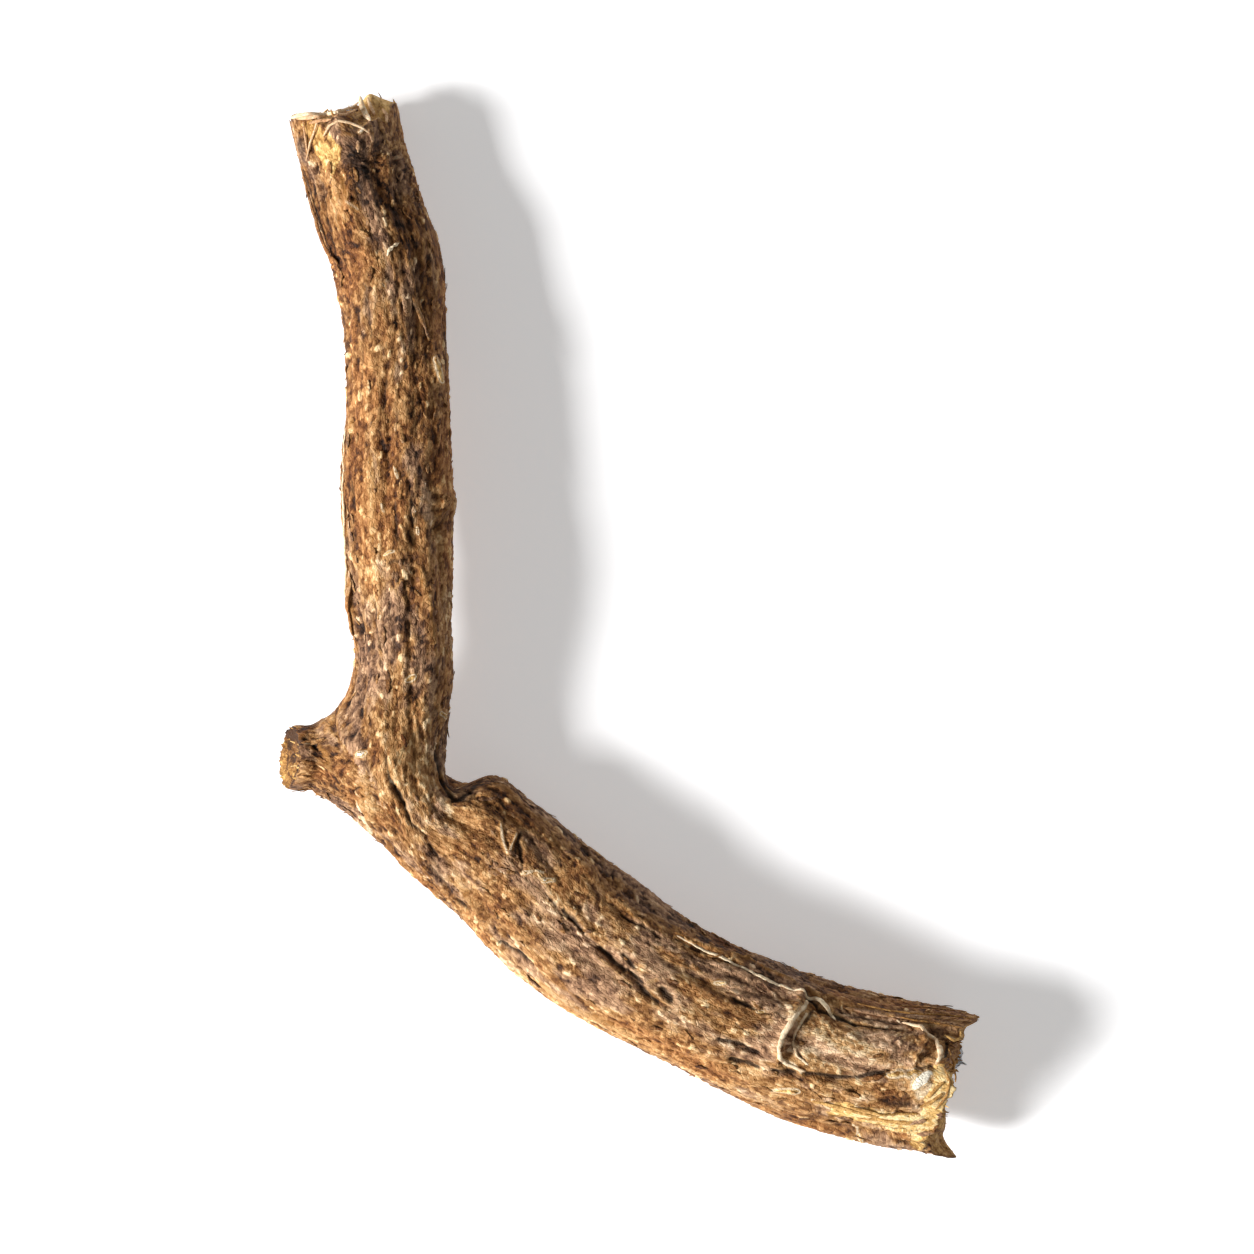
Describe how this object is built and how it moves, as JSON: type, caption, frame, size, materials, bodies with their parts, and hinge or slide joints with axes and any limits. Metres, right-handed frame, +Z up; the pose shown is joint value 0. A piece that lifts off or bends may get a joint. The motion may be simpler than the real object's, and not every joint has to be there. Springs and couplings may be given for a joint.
{
  "type": "black cohosh root",
  "caption": "Dried forked root piece: a thick limb and a thin limb in furrowed bark, a broken side stub and torn ends, lying flat for herb trays, displays and scenes.",
  "frame": {"origin": "centre of the footprint's bounding box, on the surface the root lies on", "axes": "+Y towards the thin limb's torn end, +X towards the thick limb's torn end, +Z up"},
  "size_m": [0.0194, 0.0296, 0.0042],
  "materials": {
    "bark": "matte",
    "bare_wood": "matte"
  },
  "bodies": {
    "root": {"upper_root": "bark", "lower_root": "bark", "broken_stub": "bare_wood"}
  },
  "joints": []
}
